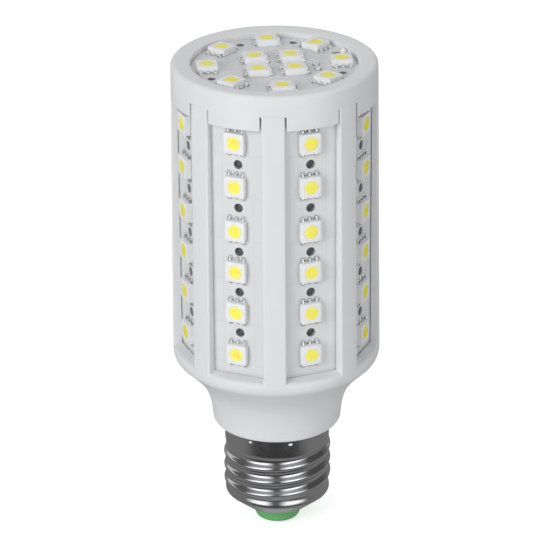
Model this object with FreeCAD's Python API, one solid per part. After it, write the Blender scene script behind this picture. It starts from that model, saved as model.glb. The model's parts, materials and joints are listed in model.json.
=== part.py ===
import FreeCAD, Part
import math
import os

# Corn lamp with a screw cap. Millimetres. The origin is the centre of the underside of the
# centre contact, +Z runs up the axis, and one rib of the housing faces -Y.

V = FreeCAD.Vector
up = V(0, 0, 1)
origin = V(0, 0, 0)

# Heights and radii that set the outside
rim_z = 120.4
rim_radius = 24.22
body_draft = 0.81
shoulder_radius = rim_radius + body_draft
shoulder_z = 47.4
sill_height = 1.4
sill_z = shoulder_z + sill_height
well_depth = 2.7
top_board_z = rim_z - well_depth
ledge_thickness = 1.0
roof_z = top_board_z - ledge_thickness
notch_depth = 1.3
notch_z = roof_z - notch_depth
tab_length = 3.5
tab_z = notch_z - tab_length
shoulder_height = 2.4
crease_z = shoulder_z - shoulder_height
crease_inset = 0.68
crease_radius = shoulder_radius - crease_inset
shoulder_bulge = 0.45
shoulder_rise = 1.0
flare_steps = 5
neck_edge = 0.8
side_count = 8
side_angle = 360.0 / side_count
side_slope = math.tan(math.pi / side_count)
side_stretch = 1 / math.cos(math.pi / side_count)
overrun = 1.0
rod_sides = 8

# Ribs, slits and boards
rib_half_outer = 2.7
rib_half_inner = 2.25
rib_edge = 0.4
slit = 0.4
seam = 0.12
board_depth = 2.52
board_face = rim_radius - board_depth
rib_tail = 1.5
rib_back = board_face - rib_tail
board_thickness = 1.0
board_tuck = 1.05
board_half_width = board_face * side_slope - rib_half_inner * side_stretch + board_tuck
board_clearance = 0.1
board_rebate = 1.2
board_top_gap = 0.3
tab_gap = 0.2

# Light emitters: square packages with a round yellow window and a row of solder on two sides
emitter_side = 5.0
emitter_height = 1.5
window_radius = 1.65
window_height = 0.1
window_sides = 8
solder_length = 4.3
solder_reach = 0.8
solder_rise = 0.7
row_top_gap = 4.0
row_sill_gap = 5.6
row_shifts = [0, -0.1, -0.5, -0.1, 0.15, 0]
row_pitch = (tab_z - row_top_gap - sill_z - row_sill_gap) / (len(row_shifts) - 1)
emitter_rows = [tab_z - row_top_gap - k * row_pitch + shift for k, shift in enumerate(row_shifts)]
emitter_offset = -0.25
hole_shift = 0.25
hole_drop = row_pitch / 2 + hole_shift
hole_radius = 1.05
hole_offset = 0.15

# Top board and the ring that holds it
rim_edge = 1.06
rim_steps = 2
rim_width = 4.62
well_radius = rim_radius - rim_width
well_drop = 0.4
ledge_width = 1.6
ledge_radius = well_radius - ledge_width
top_board_gap = 0.1
top_board_radius = well_radius - top_board_gap
top_turn = 7.4
top_ring_count = 8
top_ring_margin = 3.75
top_ring_radius = top_board_radius - top_ring_margin
top_square_share = 0.4385
top_square = top_square_share * top_board_radius
top_hole_radius = 0.9
top_hole_margin = 3.0
top_hole_circle = top_board_radius - top_hole_margin
top_hole_places = [1, 3, 4, 6]
joint_radius = 0.95
joint_height = 0.9
joint_sides = 10
dab_margin = 0.85
dab_circle = top_board_radius - dab_margin
dab_angle = 30.2
dab_radius = 0.75
dab_height = 1.1

# Screw shell and its base
crimp_z = 4.75
crimp_radius = 8.3
crimp_width = 0.3
skirt_height = 3.55
skirt_z = crimp_z + skirt_height
threaded_height = 13.6
collar_z = skirt_z + threaded_height
collar_step = 0.4
collar_height = 6.0
neck_z = collar_z + collar_height
thread_root = 12.5
thread_depth = 0.6
thread_crest = thread_root + thread_depth
thread_pitch = 3.629
thread_front_rise = 7.3
thread_front_z = skirt_z + thread_front_rise
thread_half_base = 1.35
thread_low_gap = 1.6
thread_low_z = skirt_z + thread_low_gap
thread_high_gap = 1.6
thread_high_z = collar_z - thread_high_gap
thread_sink = 0.15
collar_swell = 0.28
collar_radius = thread_root + collar_swell
neck_lip = 2.82
neck_radius = collar_radius + neck_lip
shell_wall = 0.35
shell_bore = thread_root - shell_wall
spigot_z = collar_z + collar_step
spigot_wall = 1.7
spigot_clearance = 0.05
spigot = shell_bore - spigot_clearance
spigot_bore = spigot - spigot_wall
dish_width = 2.7
dish_drop = 1.05
button_radius = crimp_radius - dish_width
button_edge = 0.85
button_edge_height = 1.25
insulator_z = 0.45
insulator_thickness = 1.0
insulator_top = crimp_z + insulator_thickness
contact_inset = 2.3
contact_radius = button_radius - contact_inset
contact_stem = 1.6

# Driver board, what stands on it, and the wires
driver_foot_rise = 3.7
driver_bottom = spigot_z + driver_foot_rise
driver_head_rise = 14.2
driver_top = sill_z + driver_head_rise
driver_thickness = 1.6
driver_y = -0.725
driver_front = driver_y - driver_thickness / 2
driver_rear = driver_y + driver_thickness / 2
film_x = -9.5
film_width = 10.5
film_thickness = 5.5
film_height = 11.0
film_drop = 2.5
can_gap = 0.7
can_radius = 3.5
can_x = film_x + film_width + can_gap + can_radius
can_height = 11.5
can_drop = 2.0
rectifier_x = -8.5
rectifier_width = 6.5
rectifier_thickness = 2.6
rectifier_height = 8.0
rectifier_drop = 5.0
resistor_x = -3.2
resistor_length = 6.5
resistor_radius = 1.2
resistor_drops = [18.5, 23.0]
wire_radius = 0.6
wire_clearance = 0.05
neutral_wire_x = -5.6
neutral_wire_rise = 7.0
neutral_wire_top = driver_bottom + neutral_wire_rise
neutral_wire_drop = 0.6
neutral_wire_z = thread_front_z - neutral_wire_drop
neutral_wire_spare = 2.0
wire_foot = 6.0
output_wire_shares = [0.4974, 0.5231]

taper = body_draft / (rim_z - shoulder_z)
board_floor = sill_z - board_rebate
top_level = top_board_z + board_thickness


def body_radius(z):
    """Outer radius of the housing, which narrows a little towards the top."""
    return shoulder_radius - (z - shoulder_z) * taper


def save(name, shape):
    shape.exportStep("parts/" + name + ".step")
    print(name, len(shape.Solids), round(shape.Volume, 1), shape.isValid())


def line(a, b):
    return Part.makeLine(V(a[0], 0, a[1]), V(b[0], 0, b[1]))


def lines(points):
    return [line(a, b) for a, b in zip(points, points[1:])]


def turned(edges):
    """A solid of revolution from the edges of a closed half section of (radius, height) points."""
    face = Part.Face(Part.Wire(Part.__sortEdges__(edges)))
    return face.revolve(origin, up, 360)


def round_edge(centre, radius, start, end, steps):
    """Points along an arc in a half section, from one angle to another in degrees."""
    points = []
    for k in range(steps + 1):
        angle = math.radians(start + (end - start) * k / steps)
        points.append((centre[0] + radius * math.cos(angle), centre[1] + radius * math.sin(angle)))
    return points


def turn_z(shape, degrees):
    copy = shape.copy()
    copy.rotate(origin, up, degrees)
    return copy


def around(shape, count, start=0.0):
    """Copies of a shape turned in equal steps about the axis."""
    return [turn_z(shape, start + k * 360.0 / count) for k in range(count)]


def block(x, y, z):
    """A box from pairs of limits along X, Y and Z."""
    return Part.makeBox(x[1] - x[0], y[1] - y[0], z[1] - z[0], V(x[0], y[0], z[0]))


def extruded(corners, height):
    """An upright prism on a closed row of corners."""
    return Part.Face(Part.makePolygon(corners + corners[:1])).extrude(V(0, 0, height))


def many_sided(apothem, sides, centre, start):
    """Corners of a regular outline with flat sides that lie an apothem away from its centre."""
    radius = apothem / math.cos(math.pi / sides)
    corners = []
    for k in range(sides):
        angle = math.radians(start) + 2 * math.pi * k / sides
        corners.append(centre + V(radius * math.cos(angle), radius * math.sin(angle), 0))
    return corners


def octagon(apothem, low, high):
    """A prism whose flat sides face the windows between the ribs."""
    return extruded(many_sided(apothem, side_count, V(0, 0, low), -90), high - low)


def rod(x, y, radius, low, high):
    """A small upright rod, or the cutter of a small round hole, drawn with flat sides."""
    return extruded(many_sided(radius, rod_sides, V(x, y, low), 180.0 / rod_sides), high - low)


def draft_cone(low, high):
    return Part.makeCone(body_radius(low), body_radius(high), high - low, V(0, 0, low))


def long_outer_edges(shape):
    """The two long edges at the outside of a rib that stands at -Y."""
    long_edges = [e for e in shape.Edges if e.BoundBox.ZLength > (roof_z - sill_z) / 2]
    return [e for e in long_edges if -e.BoundBox.YMax > (board_face + rim_radius) / 2]


def rib():
    """One rib at -Y: it narrows inwards and has a groove on each side for a board's edge."""
    reach = shoulder_radius + overrun
    narrowing = (rib_half_outer - rib_half_inner) / (shoulder_radius - board_face)
    outer = rib_half_inner + narrowing * (reach - board_face)
    inner = rib_half_inner
    plan = [(-outer, -reach), (outer, -reach), (inner, -board_face)]
    plan += [(inner, -rib_back), (-inner, -rib_back), (-inner, -board_face)]
    low = board_floor
    solid = extruded([V(x, y, low) for x, y in plan], roof_z - low)
    solid = solid.common(draft_cone(low, rim_z))
    solid = solid.makeChamfer(rib_edge, long_outer_edges(solid))
    front = board_face + board_clearance
    solid = solid.cut(block((-reach, reach), (-reach, -front), (notch_z - seam, rim_z)))
    for sign in (-1, 1):
        solid = solid.cut(turn_z(board_slot(), sign * side_angle / 2))
    return solid


def board_slot():
    """The room that a board at -Y takes up in the ribs beside it."""
    half = board_half_width + board_clearance
    front = board_face + board_clearance
    back = board_face - board_thickness - board_clearance
    return block((-half, half), (-front, -back), (board_floor, rim_z))


def flare():
    """Points down the hollow curve of the bowl, from the crease under the shoulder to the neck."""
    foot = neck_z + neck_edge
    drop = crease_z - foot
    width = crease_radius - neck_radius
    poles = [(crease_radius, crease_z), (crease_radius - 0.728 * width, crease_z - 0.374 * drop)]
    poles += [(neck_radius + 0.074 * width, foot + 0.478 * drop), (neck_radius, foot)]
    bezier = Part.BezierCurve()
    bezier.setPoles([V(r, 0, z) for r, z in poles])
    points = [bezier.value(k / flare_steps) for k in range(flare_steps + 1)]
    return [(point.x, point.z) for point in points]


def lamp_body():
    """The lower moulding: eight ribs on a bowl, and a neck with a spigot that the shell is crimped on."""
    foot = neck_z + neck_edge
    shoulder = [(crease_radius, crease_z), (crease_radius + shoulder_bulge, crease_z + shoulder_rise)]
    shoulder += [(shoulder_radius, shoulder_z), (body_radius(sill_z), sill_z), (spigot_bore, sill_z)]
    neck = [(neck_radius - neck_edge / 2, neck_z)]
    neck += [(spigot, neck_z), (spigot, spigot_z), (spigot_bore, spigot_z), (spigot_bore, sill_z)]
    solid = turned(lines(shoulder[::-1] + flare()[1:] + neck))
    solid = solid.cut(octagon(board_face + board_clearance, board_floor, sill_z + overrun))
    return solid.fuse(around(rib(), side_count)).removeSplitter()


def top_cap():
    """The upper moulding: a ring with a sunk well for the top board and a skirt of eight tabs."""
    edge = round_edge((body_radius(rim_z) - rim_edge, rim_z - rim_edge), rim_edge, 0, 90, rim_steps)
    points = edge + [(well_radius, rim_z - well_drop), (well_radius, top_board_z)]
    points += [(ledge_radius, top_board_z), (ledge_radius, roof_z), (rib_back, roof_z), (rib_back, tab_z)]
    points += [(body_radius(tab_z), tab_z), edge[0]]
    solid = turned(lines(points))
    solid = solid.cut(octagon(board_face + tab_gap, tab_z - overrun, roof_z))
    half = rib_half_outer + slit
    notch = block((-half, half), (-shoulder_radius, -rib_back + overrun), (tab_z - overrun, notch_z))
    return solid.cut(around(notch, side_count))


def side_board():
    """A narrow board at -Y with a hole under each emitter but the last."""
    back = board_face - board_thickness
    wide = (-board_half_width, board_half_width)
    solid = block(wide, (-board_face, -back), (board_floor, roof_z - board_top_gap))
    lie = FreeCAD.Rotation(V(1, 0, 0), 90)
    for z in emitter_rows[:-1]:
        hole = rod(0, 0, hole_radius, 0, 2 * board_thickness)
        place = V(hole_offset, -board_face + 1.5 * board_thickness, z - hole_drop)
        hole.Placement = FreeCAD.Placement(place, lie)
        solid = solid.cut(hole)
    return solid


def emitter_body():
    half = emitter_side / 2
    return block((-half, half), (-half, half), (0, emitter_height))


def emitter_window():
    """The yellow window, a very flat dome on top of the package."""
    return low_dome(window_radius, window_sides, V(0, 0, emitter_height), window_height)


def low_dome(radius, sides, base, height):
    """A drop on a flat base, drawn as a pyramid with many sides."""
    rim = many_sided(radius, sides, base, 0)
    tip = base + V(0, 0, height)
    faces = [Part.Face(Part.makePolygon(rim + rim[:1]))]
    for a, b in zip(rim, rim[1:] + rim[:1]):
        faces.append(Part.Face(Part.makePolygon([a, b, tip, a])))
    return closed_solid(faces)


def closed_solid(faces):
    shell = Part.Shell(faces)
    shell.sewShape()
    solid = Part.Solid(shell)
    if solid.Volume < 0:
        solid.reverse()
    return solid


def emitter_solder():
    """A wedge of solder along each of the two sides that carry the leads."""
    half = emitter_side / 2
    wedges = []
    for side in (-1, 1):
        section = [(side * half, 0), (side * (half + solder_reach), 0), (side * half, solder_rise)]
        corners = [V(-solder_length / 2, y, z) for y, z in section + section[:1]]
        wedges.append(Part.Face(Part.makePolygon(corners)).extrude(V(solder_length, 0, 0)))
    return Part.makeCompound(wedges)


def side_places():
    """Where each emitter stands on the side boards: flat on the face, solder above and below."""
    lie = FreeCAD.Rotation(V(1, 0, 0), 90)
    places = []
    for k in range(side_count):
        turn = FreeCAD.Placement(origin, FreeCAD.Rotation(up, side_angle * (k + 0.5)))
        for z in emitter_rows:
            places.append(turn.multiply(FreeCAD.Placement(V(emitter_offset, -board_face, z), lie)))
    return places


def top_places():
    """Eight emitters in a ring with their solder along it, and four in a square."""
    quarter = FreeCAD.Rotation(up, 90)
    half = top_square / 2
    places = []
    for k in range(top_ring_count):
        turn = FreeCAD.Placement(origin, FreeCAD.Rotation(up, top_turn + k * 360.0 / top_ring_count))
        places.append(turn.multiply(FreeCAD.Placement(V(0, -top_ring_radius, top_level), quarter)))
    turn = FreeCAD.Placement(origin, FreeCAD.Rotation(up, top_turn))
    for x in (-half, half):
        for y in (-half, half):
            places.append(turn.multiply(FreeCAD.Placement(V(x, y, top_level), quarter)))
    return places


def group(shape, places):
    """One compound with a copy of a shape at each place."""
    solids = []
    for place in places:
        copy = shape.copy()
        copy.Placement = place
        solids += copy.Solids
    return Part.makeCompound(solids)


def output_wire_axes():
    """The two wires to the top board run straight up, one on each face of the driver board."""
    offset = driver_thickness / 2 + wire_radius
    rear, front = [share * top_board_radius for share in output_wire_shares]
    return [(rear, driver_y + offset), (front, driver_y - offset)]


def top_board():
    solid = Part.makeCylinder(top_board_radius, board_thickness, V(0, 0, top_board_z))
    low = top_board_z - overrun
    high = top_level + overrun
    for k in top_hole_places:
        angle = math.radians(top_turn + (k + 0.5) * 360.0 / top_ring_count - 90)
        x = top_hole_circle * math.cos(angle)
        y = top_hole_circle * math.sin(angle)
        solid = solid.cut(rod(x, y, top_hole_radius, low, high))
    for x, y in output_wire_axes():
        solid = solid.cut(rod(x, y, wire_radius + wire_clearance, low, high))
    return solid


def wire_joints():
    """Drops of solder over the ends of the two wires, on top of the board."""
    drops = []
    for x, y in output_wire_axes():
        drops.append(low_dome(joint_radius, joint_sides, V(x, y, top_level), joint_height))
    return Part.makeCompound(drops)


def glue_dab():
    """A dab of sealant on the top board, close to the wall of the well."""
    angle = math.radians(dab_angle)
    place = V(dab_circle * math.cos(angle), dab_circle * math.sin(angle), top_level)
    return low_dome(dab_radius, joint_sides, place, dab_height)


def helix(radius, lift):
    """A right-hand helix of the thread's pitch whose turns, before the lift, pass -Y at the crests."""
    edge = Part.makeHelix(thread_pitch, thread_high_z - thread_low_z, radius)
    turns = (thread_low_z - thread_front_z) / thread_pitch
    edge.rotate(origin, up, 360.0 * turns - 90)
    edge.translate(V(0, 0, thread_low_z + lift))
    return edge


def thread():
    """The thread as a ridge with two flanks, its foot sunk into the wall of the shell."""
    foot = thread_root - thread_sink
    curves = [helix(foot, -thread_half_base), helix(thread_crest, 0), helix(foot, thread_half_base)]
    faces = []
    for a, b in zip(curves, curves[1:] + curves[:1]):
        faces += Part.makeRuledSurface(a, b).Faces
    for end in (0, -1):
        tips = [curve.OrderedVertexes[end].Point for curve in curves]
        faces.append(Part.Face(Part.makePolygon(tips + tips[:1])))
    return closed_solid(faces)


def screw_shell():
    """Drawn metal shell: collar, threaded wall, and a skirt that narrows to the insulator."""
    points = [(collar_radius, neck_z), (collar_radius, collar_z), (thread_root, collar_z - collar_step)]
    points += [(thread_root, skirt_z), (crimp_radius + crimp_width, crimp_z), (crimp_radius, crimp_z)]
    points += [(crimp_radius, insulator_top), (shell_bore, skirt_z), (shell_bore, neck_z)]
    return turned(lines(points + points[:1])).fuse(thread())


def insulator():
    """A green plastic disc in the end of the skirt, with a button below it that carries the contact."""
    points = [(contact_stem, insulator_z), (button_radius - button_edge, insulator_z)]
    points += [(button_radius, insulator_z + button_edge_height), (button_radius, crimp_z - dish_drop)]
    points += [(crimp_radius, crimp_z), (crimp_radius, insulator_top), (contact_stem, insulator_top)]
    return turned(lines(points + points[:1]))


def centre_contact():
    """A rivet: a flat head under the insulator and a stem through it."""
    points = [(0, 0), (contact_radius, 0), (contact_radius, insulator_z), (contact_stem, insulator_z)]
    points += [(contact_stem, insulator_top), (0, insulator_top)]
    return turned(lines(points + points[:1]))


def driver_board():
    """A board that stands across the bore of the spigot, wedged by its two long edges."""
    reach = max(abs(driver_front), abs(driver_rear))
    half = math.sqrt(spigot_bore ** 2 - reach ** 2)
    return block((-half, half), (driver_front, driver_rear), (driver_bottom, driver_top))


def film_capacitor():
    high = driver_top - film_drop
    wide = (film_x, film_x + film_width)
    return block(wide, (driver_front - film_thickness, driver_front), (high - film_height, high))


def electrolytic_capacitor():
    """A can that stands along the front of the driver board."""
    high = driver_top - can_drop
    return rod(can_x, driver_front - can_radius, can_radius, high - can_height, high)


def bridge_rectifier():
    high = driver_top - rectifier_drop
    wide = (rectifier_x, rectifier_x + rectifier_width)
    return block(wide, (driver_rear, driver_rear + rectifier_thickness), (high - rectifier_height, high))


def resistors():
    """Two small resistors laid across the back of the driver board."""
    rods = []
    lie = FreeCAD.Rotation(V(0, 1, 0), 90)
    for drop in resistor_drops:
        body = rod(0, 0, resistor_radius, 0, resistor_length)
        body.Placement = FreeCAD.Placement(V(resistor_x, driver_rear + resistor_radius, driver_top - drop), lie)
        rods.append(body)
    return Part.makeCompound(rods)


def neutral_wire():
    """From the back of the driver board down and out to the wall of the shell, where it is trimmed."""
    y = driver_rear + wire_radius
    start = V(neutral_wire_x, y, neutral_wire_top)
    run = V(-shell_bore, y, neutral_wire_z) - start
    wire = Part.makeCylinder(wire_radius, run.Length, start, run)
    low = neutral_wire_z - neutral_wire_spare
    bore = Part.makeCylinder(shell_bore, neutral_wire_top + neutral_wire_spare - low, V(0, 0, low))
    return wire.common(bore)


os.makedirs("parts", exist_ok=True)

save("lamp_body", lamp_body())
save("top_cap", top_cap())
for k, board in enumerate(around(side_board(), side_count, side_angle / 2)):
    save("side_board_" + str(k + 1), board)
save("side_emitter_bodies", group(emitter_body(), side_places()))
save("side_emitter_windows", group(emitter_window(), side_places()))
save("side_emitter_solder", group(emitter_solder(), side_places()))
save("top_board", top_board())
save("top_emitter_bodies", group(emitter_body(), top_places()))
save("top_emitter_windows", group(emitter_window(), top_places()))
save("top_emitter_solder", group(emitter_solder(), top_places()))
save("wire_joints", wire_joints())
save("glue_dab", glue_dab())
save("screw_shell", screw_shell())
save("insulator", insulator())
save("centre_contact", centre_contact())
save("driver_board", driver_board())
save("film_capacitor", film_capacitor())
save("electrolytic_capacitor", electrolytic_capacitor())
save("bridge_rectifier", bridge_rectifier())
save("resistors", resistors())
save("live_wire", rod(0, 0, wire_radius, insulator_top, driver_bottom))
save("neutral_wire", neutral_wire())
for name, (x, y) in zip(("positive_wire", "negative_wire"), output_wire_axes()):
    save(name, rod(x, y, wire_radius, driver_top - wire_foot, top_level))
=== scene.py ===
import json
import math

import bpy
import numpy as np
from mathutils import Matrix, Vector
from mathutils.geometry import delaunay_2d_cdt


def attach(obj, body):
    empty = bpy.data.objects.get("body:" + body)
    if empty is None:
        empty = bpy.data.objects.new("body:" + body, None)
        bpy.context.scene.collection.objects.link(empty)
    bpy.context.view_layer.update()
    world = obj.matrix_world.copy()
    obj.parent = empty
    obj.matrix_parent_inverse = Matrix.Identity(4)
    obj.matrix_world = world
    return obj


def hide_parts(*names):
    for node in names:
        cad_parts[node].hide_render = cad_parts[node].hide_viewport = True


# A corn lamp: white ribbed housing, emitter boards between the ribs, a metal screw cap.
# Sizes are in millimetres and each mesh is made in metres. +Z is up, -Y is towards the camera.

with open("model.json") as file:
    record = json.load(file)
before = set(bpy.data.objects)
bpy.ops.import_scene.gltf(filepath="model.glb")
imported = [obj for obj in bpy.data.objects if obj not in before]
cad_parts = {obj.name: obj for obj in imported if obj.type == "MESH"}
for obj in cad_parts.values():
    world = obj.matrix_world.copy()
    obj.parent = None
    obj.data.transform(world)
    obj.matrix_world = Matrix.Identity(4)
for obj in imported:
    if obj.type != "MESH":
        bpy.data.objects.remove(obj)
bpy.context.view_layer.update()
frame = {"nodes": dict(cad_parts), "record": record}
mm = 0.001
print("frame loaded:", len(frame["nodes"]), "nodes")

housing = dict(rimZ=120.4, rimRadius=24.22, shoulderZ=47.4, shoulderRadius=25.015, sillZ=48.8, tabZ=111.9,
               notchZ=115.4, creaseZ=45.0, creaseRadius=24.35, neckZ=27.9, neckRadius=15.6, sides=8)
board = dict(face=21.7, thickness=1.0, halfWidth=7.6, floorZ=47.6, topZ=116.4)


def bodyRadius(z):
    # the housing narrows upwards in a straight line: shoulder radius less taper times the height above it
    taper = (housing["shoulderRadius"] - housing["rimRadius"]) / (housing["rimZ"] - housing["shoulderZ"])
    return housing["shoulderRadius"] - (z - housing["shoulderZ"]) * taper


def addObject(name, data):
    # an object in the scene
    thing = bpy.data.objects.new(name, data)
    bpy.context.collection.objects.link(thing)
    return thing


def addMesh(name, points, faces, replaced, smoothAngle=35):
    # points: n x 3 in millimetres; faces: list of index rows, all pointing outwards
    mesh = bpy.data.meshes.new(name)
    mesh.from_pydata((np.asarray(points) * mm).tolist(), [], [list(map(int, face)) for face in faces])
    mesh.validate()
    mesh.shade_smooth()
    mesh.set_sharp_from_angle(angle=math.radians(smoothAngle))
    piece = addObject(name, mesh)
    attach(piece, "root")
    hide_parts(*replaced)
    print("made", name, len(faces), "faces")
    return piece


def keepValues(piece, name, values):
    # stores one number, or one vector, at each vertex for the finish to read
    values = np.asarray(values, np.float32)
    kind, field = ("FLOAT", "value") if values.ndim == 1 else ("FLOAT_VECTOR", "vector")
    piece.data.attributes.new(name, kind, "POINT").data.foreach_set(field, values.ravel())


def gridFaces(rows, columns, closed=True):
    # quads between neighbouring rows of a rows x columns grid, columns joined round when closed
    row = np.arange(rows - 1)[:, None]
    column = np.arange(columns if closed else columns - 1)[None, :]
    here = row * columns + column
    beside = row * columns + (column + 1) % columns
    return np.stack([here, beside, beside + columns, here + columns], -1).reshape(-1, 4)


def ringFaces(rows, columns):
    # the same with the last row joined to the first, for a profile that runs clockwise round a solid
    return (gridFaces(rows + 1, columns) % (rows * columns))[:, ::-1]


def circleAngles(columns):
    # a whole turn in equal steps, in radians
    return np.linspace(0, 2 * math.pi, columns, endpoint=False)


def ringPoints(radius, angle, z):
    # points (r cos a, r sin a, z)
    x = radius * np.cos(angle)
    return np.stack([x, radius * np.sin(angle), z + 0 * x], -1)


def arcPoints(centre, radius, start, end, steps):
    # points of an arc: centre + radius (cos a, sin a), a from start to end in degrees
    angle = np.radians(np.linspace(start, end, steps + 1))
    return np.stack([centre[0] + radius * np.cos(angle), centre[1] + radius * np.sin(angle)], 1)


def bezierPoints(poles, steps):
    # cubic curve through four poles: (1-t)^3 a + 3(1-t)^2 t b + 3(1-t) t^2 c + t^3 d
    t = np.linspace(0, 1, steps + 1)[:, None]
    a, b, c, d = np.asarray(poles, float)
    return (1 - t) ** 3 * a + 3 * (1 - t) ** 2 * t * b + 3 * (1 - t) * t ** 2 * c + t ** 3 * d


def turnedGrid(profile, columns):
    # a profile of (radius, height) rows carried round Z
    profile = np.asarray(profile, float)
    return ringPoints(profile[:, 0:1], circleAngles(columns), profile[:, 1:2])


def turnedSolid(profile, columns):
    # a closed ring: the profile is a loop, run clockwise seen with the radius to the right
    return turnedGrid(profile, columns).reshape(-1, 3), ringFaces(len(profile), columns)


def loft(sections):
    # rows of closed sections, each listed anticlockwise seen from the end of the loft, and a face at both ends
    sections = np.asarray(sections, float)
    rows, columns = sections.shape[:2]
    faces = [list(face) for face in gridFaces(rows, columns)]
    faces += [list(range(columns))[::-1], list(range((rows - 1) * columns, rows * columns))]
    return sections.reshape(-1, 3), faces


def joined(parts):
    # several (points, faces) put into one list
    points = []
    faces = []
    count = 0
    for partPoints, partFaces in parts:
        points.append(np.asarray(partPoints, float))
        faces += [list(np.asarray(face) + count) for face in partFaces]
        count += len(partPoints)
    return np.concatenate(points), faces


def turnMatrix(degrees):
    # rotation about Z: rows (cos, -sin, 0), (sin, cos, 0), (0, 0, 1)
    angle = math.radians(degrees)
    return np.array([[math.cos(angle), -math.sin(angle), 0], [math.sin(angle), math.cos(angle), 0], [0, 0, 1]])


def turnAbout(points, degrees):
    # an n x 3 array turned about Z
    return np.asarray(points) @ turnMatrix(degrees).T


def onEachSide(points, faces):
    # the same solid turned about Z, once for each side of the housing
    return [(turnAbout(points, 360 / housing["sides"] * k), faces) for k in range(housing["sides"])]


def copies(points, faces, turns, moves):
    # turns: k x 3 x 3, moves: k x 3; copy k of a point is turn_k p + move_k
    points = np.asarray(points, float)
    many = np.einsum("kij,nj->kni", turns, points) + moves[:, None, :]
    shift = np.arange(len(turns)) * len(points)
    allFaces = [[index + int(s) for index in face] for s in shift for face in faces]
    return many.reshape(-1, 3), allFaces


# Housing, lower moulding

bowl = dict(columns=256, bore=10.4, neckEdge=0.8, edgeSteps=8,
            sillEdge=1.0, sillDrop=0.35, sillArc=80, wallEdge=0.08,  # the sill slopes a little to a round edge
            lip=[(25.015, 46.6), (24.9, 45.75)], lipSteps=10,  # poles between shoulder and crease
            bellHigh=(0.728, 0.374), bellLow=(0.074, 0.478), bellSteps=40)  # poles, as shares of width and fall
rib = dict(halfOuter=2.7, halfInner=2.25, edge=0.4, edgeSteps=5, outerSteps=8, back=20.2, slotGap=0.22,
           slotPlay=0.1, lipRise=0.98, sunk=1.45, seam=0.03, rows=12)


def bowlProfile():
    # (radius, z) from the sill over the shoulder and a flared bell down to the neck, then up the bore
    h = housing
    b = bowl
    sillEdge = b["sillEdge"]
    sillMiddle = (bodyRadius(h["sillZ"]) - sillEdge, h["sillZ"] - b["sillDrop"] - sillEdge)
    rows = arcPoints(sillMiddle, sillEdge, b["sillArc"], 0, b["edgeSteps"]).tolist()
    shoulder = (h["shoulderRadius"], h["shoulderZ"])
    crease = (h["creaseRadius"], h["creaseZ"])
    rows += [shoulder] + bezierPoints([shoulder, *b["lip"], crease], b["lipSteps"])[1:].tolist()
    foot = h["neckZ"] + b["neckEdge"]
    width = h["creaseRadius"] - h["neckRadius"]
    fall = h["creaseZ"] - foot
    high = (h["creaseRadius"] - b["bellHigh"][0] * width, h["creaseZ"] - b["bellHigh"][1] * fall)
    low = (h["neckRadius"] + b["bellLow"][0] * width, foot + b["bellLow"][1] * fall)
    rows += bezierPoints([crease, high, low, (h["neckRadius"], foot)], b["bellSteps"])[1:].tolist()
    neckMiddle = (h["neckRadius"] - b["neckEdge"], foot)
    rows += arcPoints(neckMiddle, b["neckEdge"], 0, -90, b["edgeSteps"])[1:].tolist()
    return rows + [(b["bore"], h["neckZ"]), (b["bore"], board["floorZ"])]


def bowlMesh():
    # the turned outside, and inside it an upright eight-sided wall: r = apothem / cos(a from the flat's middle)
    edge = bowl["wallEdge"]
    angle = circleAngles(bowl["columns"])
    step = 2 * math.pi / housing["sides"]
    fromMiddle = (angle + math.pi / 2) % step - step / 2
    radius = (board["face"] + rib["slotGap"]) / np.cos(fromMiddle)
    heights = ((0, board["floorZ"]), (0, housing["sillZ"] - edge), (edge, housing["sillZ"]))
    walls = np.array([ringPoints(radius + wider, angle, z) for wider, z in heights])
    grid = np.concatenate([walls, turnedGrid(bowlProfile(), bowl["columns"])])
    return grid.reshape(-1, 3), ringFaces(len(grid), bowl["columns"])


def ribSection(z):
    # outline of a rib that stands at -Y: a round outside, two round edges, tapering sides with a slot for each
    # board, and a flat back. The slot is a band n.p = face + gap to face - thickness - gap, n at half a step
    outer = bodyRadius(z)
    narrowing = (rib["halfOuter"] - rib["halfInner"]) / (outer - board["face"])
    edge = rib["edge"]
    swing = math.degrees(math.asin((rib["halfOuter"] - edge) / (outer - edge)))
    centreX = (outer - edge) * math.sin(math.radians(swing))
    centreY = -(outer - edge) * math.cos(math.radians(swing))
    lean = math.degrees(math.atan(narrowing))
    rightEdge = arcPoints((centreX, centreY), edge, -90 + swing, lean, rib["edgeSteps"])
    outside = arcPoints((0, 0), outer, -90 - swing, -90 + swing, rib["outerSteps"])[1:-1]
    half = math.pi / housing["sides"]
    normal = np.array([math.sin(half), -math.cos(half)])
    along = np.array([math.cos(half), math.sin(half)])
    front = board["face"] + rib["slotGap"]
    back = board["face"] - board["thickness"] - rib["slotGap"]
    deep = -(board["halfWidth"] + rib["slotPlay"])
    lipX = rib["halfInner"] + narrowing * rib["lipRise"]
    lip = [lipX, -(front - lipX * normal[0]) / -normal[1]]
    tailX = rib["halfInner"]
    tail = [tailX, -(back - tailX * normal[0]) / -normal[1]]
    slot = [lip, (front * normal + deep * along).tolist(), (back * normal + deep * along).tolist(), tail]
    rightHalf = rightEdge.tolist() + slot + [(tailX, -rib["back"])]
    leftHalf = [(-x, y) for x, y in rightHalf[::-1]]
    outline = leftHalf + outside.tolist() + rightHalf
    return np.array([(x, y, z) for x, y in outline])


def makeLowerHousing():
    # the bowl, and on each side a rib lofted from below the sill to the seam under the upper moulding
    heights = np.linspace(housing["sillZ"] - rib["sunk"], housing["notchZ"] - rib["seam"], rib["rows"])
    oneRib = loft([ribSection(z) for z in heights])
    return addMesh("lowerHousing", *joined([bowlMesh()] + onEachSide(*oneRib)), ["lamp_body"])


lowerHousing = makeLowerHousing()


# Housing, upper moulding

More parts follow.
